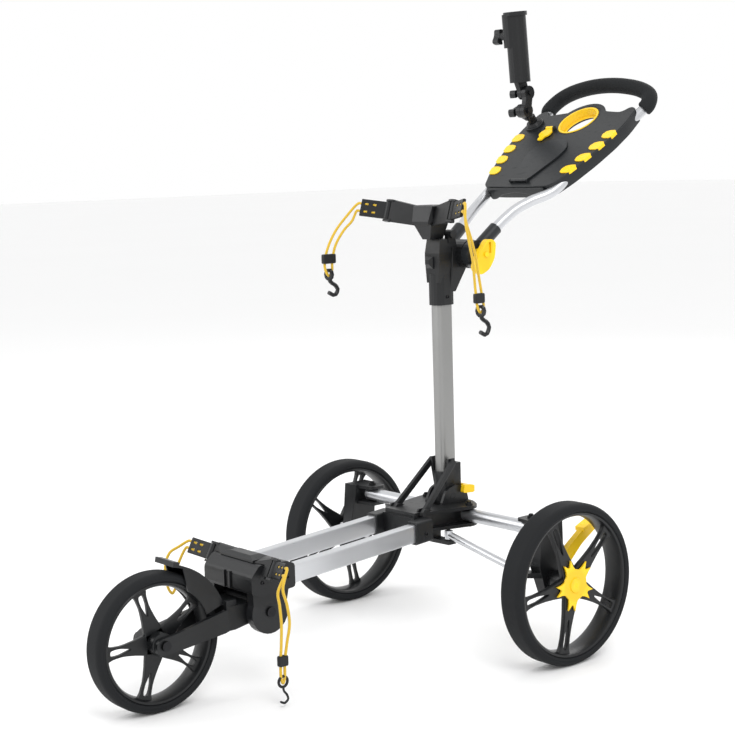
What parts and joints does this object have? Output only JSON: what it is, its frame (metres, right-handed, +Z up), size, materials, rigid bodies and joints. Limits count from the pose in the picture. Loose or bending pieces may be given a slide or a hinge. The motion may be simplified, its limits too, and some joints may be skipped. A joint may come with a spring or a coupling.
{
  "type": "golf push trolley",
  "caption": "Folding three-wheeled golf push trolley with alloy beams, foam grip, console, umbrella holder and yellow bag cords.",
  "frame": {"origin": "on the ground at the middle of the footprint, leaving the cords out", "axes": "+Z up, +Y towards the user behind the handle, -Y forwards over the front wheel, +X to the user's left"},
  "size_m": [0.664, 1.2584, 1.1865],
  "materials": {
    "black_plastic": "satin moulded black",
    "yellow_plastic": "satin yellow",
    "foam_tyre": "dull solid foam",
    "foam_sleeve": "soft foam",
    "silver_alloy": "satin silver lacquer",
    "steel": "plated steel",
    "elastic_cord": "woven elastic"
  },
  "bodies": {
    "chassis": {"rear_block": "black_plastic", "front_housing": "black_plastic", "beam_left": "silver_alloy", "beam_right": "silver_alloy", "lower_bag_cradle": "black_plastic", "front_pivot_bolt": "steel"},
    "front_fork": {"fork": "black_plastic", "mudguard": "black_plastic", "front_axle": "steel"},
    "front_wheel": {"front_tyre": "foam_tyre", "front_rim": "black_plastic"},
    "mast": {"mast_tube": "silver_alloy", "mast_foot": "black_plastic", "head_casting": "black_plastic", "upper_bag_cradle": "black_plastic"},
    "latch_bar": {"fold_latch": "yellow_plastic"},
    "handle": {"handle_tube": "silver_alloy", "foam_grip": "foam_sleeve", "handle_yoke_left": "black_plastic", "handle_yoke_right": "black_plastic", "console_shell": "black_plastic", "cup_liner": "yellow_plastic", "grip_pads_left": "yellow_plastic", "grip_pads_right": "yellow_plastic", "umbrella_base": "black_plastic"},
    "clamp_lever": {"lock_lever": "yellow_plastic"},
    "lid": {"console_lid": "black_plastic"},
    "clip": {"card_clip": "yellow_plastic"},
    "brake": {"brake_lever": "yellow_plastic"},
    "holder_link": {"umbrella_link": "black_plastic"},
    "holder_tube": {"umbrella_tube": "black_plastic"},
    "knob_lower": {"wing_knob_lower": "black_plastic"},
    "knob_upper": {"wing_knob_upper": "black_plastic"},
    "tube_screw": {"tube_wing_screw": "black_plastic"},
    "low_tip_left": {"lower_tip_left": "black_plastic", "lower_cord_left": "elastic_cord"},
    "top_tip_left": {"upper_tip_left": "black_plastic", "upper_cord_left": "elastic_cord", "upper_hook_left": "black_plastic"},
    "arm_left": {"axle_tube_left": "silver_alloy"},
    "rod_left": {"link_rod_left": "silver_alloy"},
    "carrier_left": {"wheel_carrier_left": "black_plastic", "stub_axle_left": "steel"},
    "rear_wheel_left": {"rear_tyre_left": "foam_tyre", "rear_rim_left": "black_plastic", "hub_star_left": "yellow_plastic"},
    "brace_left": {"strut_left": "black_plastic"},
    "low_tip_right": {"lower_tip_right": "black_plastic", "lower_cord_right": "elastic_cord"},
    "top_tip_right": {"upper_tip_right": "black_plastic", "upper_cord_right": "elastic_cord", "upper_hook_right": "black_plastic"},
    "arm_right": {"axle_tube_right": "silver_alloy"},
    "rod_right": {"link_rod_right": "silver_alloy"},
    "carrier_right": {"wheel_carrier_right": "black_plastic", "stub_axle_right": "steel"},
    "rear_wheel_right": {"rear_tyre_right": "foam_tyre", "rear_rim_right": "black_plastic", "hub_star_right": "yellow_plastic"},
    "brace_right": {"strut_right": "black_plastic"}
  },
  "joints": [
    {"name": "front_fork_fold", "type": "hinge", "parent": "chassis", "child": "front_fork", "pos_m": [0, -0.31822, 0.142], "axis": [1, 0, 0], "range_deg": [0, 150]},
    {"name": "front_wheel_spin", "type": "hinge", "parent": "front_fork", "child": "front_wheel", "pos_m": [0, -0.51122, 0.118], "axis": [1, 0, 0], "continuous": true},
    {"name": "mast_fold", "type": "hinge", "parent": "chassis", "child": "mast", "pos_m": [0, 0.14678, 0.262], "axis": [1, 0, 0], "range_deg": [0, 72]},
    {"name": "latch_press", "type": "hinge", "parent": "chassis", "child": "latch_bar", "pos_m": [0, 0.18178, 0.274], "axis": [1, 0, 0], "range_deg": [-20, 0], "stiffness_Nm_per_rad": 0.6, "springref_deg": 8.59},
    {"name": "handle_fold", "type": "hinge", "parent": "mast", "child": "handle", "pos_m": [0, 0.19778, 0.718], "axis": [1, 0, 0], "range_deg": [-110, 10]},
    {"name": "clamp_lever_turn", "type": "hinge", "parent": "handle", "child": "clamp_lever", "pos_m": [0, 0.19778, 0.718], "axis": [1, 0, 0], "range_deg": [-90, 0]},
    {"name": "lid_open", "type": "hinge", "parent": "handle", "child": "lid", "pos_m": [0, 0.36229, 0.85062], "axis": [1, 0, 0], "range_deg": [0, 100]},
    {"name": "clip_open", "type": "hinge", "parent": "handle", "child": "clip", "pos_m": [-0.05, 0.50425, 0.95125], "axis": [1, 0, 0], "range_deg": [-50, 0], "stiffness_Nm_per_rad": 0.05, "springref_deg": 11.46},
    {"name": "holder_lower_tilt", "type": "hinge", "parent": "handle", "child": "holder_link", "pos_m": [-0.108, 0.49078, 0.988], "axis": [1, 0, 0], "range_deg": [-20, 30]},
    {"name": "holder_upper_tilt", "type": "hinge", "parent": "holder_link", "child": "holder_tube", "pos_m": [-0.108, 0.49578, 1.024], "axis": [1, 0, 0], "range_deg": [-20, 45]},
    {"name": "knob_lower_turn", "type": "hinge", "parent": "handle", "child": "knob_lower", "pos_m": [-0.108, 0.49078, 0.988], "axis": [1, 0, 0], "continuous": true},
    {"name": "knob_upper_turn", "type": "hinge", "parent": "holder_link", "child": "knob_upper", "pos_m": [-0.108, 0.49578, 1.024], "axis": [1, 0, 0], "continuous": true},
    {"name": "tube_screw_turn", "type": "hinge", "parent": "holder_tube", "child": "tube_screw", "pos_m": [-0.136, 0.46084, 1.13764], "axis": [1, 0, 0], "continuous": true},
    {"name": "arm_fold_left", "type": "hinge", "parent": "chassis", "child": "arm_left", "pos_m": [0.06, 0.15478, 0.231], "axis": [0, 0, -1], "range_deg": [0, 75]},
    {"name": "carrier_turn_left", "type": "hinge", "parent": "arm_left", "child": "carrier_left", "pos_m": [0.222, 0.15478, 0.231], "axis": [0, 0, -1], "range_deg": [-75, 0]},
    {"name": "rod_swing_left", "type": "hinge", "parent": "chassis", "child": "rod_left", "pos_m": [0.073, 0.08978, 0.206], "axis": [0, 0, -1], "range_deg": [0, 75]},
    {"name": "rear_wheel_spin_left", "type": "hinge", "parent": "carrier_left", "child": "rear_wheel_left", "pos_m": [0.307, 0.15478, 0.145], "axis": [1, 0, 0], "continuous": true},
    {"name": "brace_swing_left", "type": "hinge", "parent": "chassis", "child": "brace_left", "pos_m": [0.04, 0.05878, 0.247], "axis": [1, 0, 0], "range_deg": [0, 10]},
    {"name": "low_tip_swing_left", "type": "hinge", "parent": "chassis", "child": "low_tip_left", "pos_m": [0.092, -0.32722, 0.221], "axis": [0, 0.4794, 0.8776], "range_deg": [-15, 15]},
    {"name": "top_tip_swing_left", "type": "hinge", "parent": "mast", "child": "top_tip_left", "pos_m": [0.09, 0.10278, 0.802], "axis": [0, 0.2955, 0.9553], "range_deg": [-15, 15]},
    {"name": "arm_fold_right", "type": "hinge", "parent": "chassis", "child": "arm_right", "pos_m": [-0.06, 0.15478, 0.231], "axis": [0, 0, 1], "range_deg": [0, 75]},
    {"name": "carrier_turn_right", "type": "hinge", "parent": "arm_right", "child": "carrier_right", "pos_m": [-0.222, 0.15478, 0.231], "axis": [0, 0, 1], "range_deg": [-75, 0]},
    {"name": "rod_swing_right", "type": "hinge", "parent": "chassis", "child": "rod_right", "pos_m": [-0.073, 0.08978, 0.206], "axis": [0, 0, 1], "range_deg": [0, 75]},
    {"name": "rear_wheel_spin_right", "type": "hinge", "parent": "carrier_right", "child": "rear_wheel_right", "pos_m": [-0.307, 0.15478, 0.145], "axis": [1, 0, 0], "continuous": true},
    {"name": "brace_swing_right", "type": "hinge", "parent": "chassis", "child": "brace_right", "pos_m": [-0.04, 0.05878, 0.247], "axis": [1, 0, 0], "range_deg": [0, 10]},
    {"name": "low_tip_swing_right", "type": "hinge", "parent": "chassis", "child": "low_tip_right", "pos_m": [-0.092, -0.32722, 0.221], "axis": [0, 0.4794, 0.8776], "range_deg": [-15, 15]},
    {"name": "top_tip_swing_right", "type": "hinge", "parent": "mast", "child": "top_tip_right", "pos_m": [-0.09, 0.10278, 0.802], "axis": [0, 0.2955, 0.9553], "range_deg": [-15, 15]},
    {"name": "brake_press", "type": "hinge", "parent": "carrier_left", "child": "brake", "pos_m": [0.252, 0.19278, 0.16], "axis": [1, 0, 0], "range_deg": [-20, 0]}
  ],
  "couplings": [
    {"joint": "carrier_turn_left", "follows": "arm_fold_left", "ratio": -1},
    {"joint": "rod_swing_left", "follows": "arm_fold_left", "ratio": 1},
    {"joint": "brace_swing_left", "follows": "mast_fold", "ratio": 0.12},
    {"joint": "carrier_turn_right", "follows": "arm_fold_right", "ratio": -1},
    {"joint": "rod_swing_right", "follows": "arm_fold_right", "ratio": 1},
    {"joint": "brace_swing_right", "follows": "mast_fold", "ratio": 0.12}
  ]
}
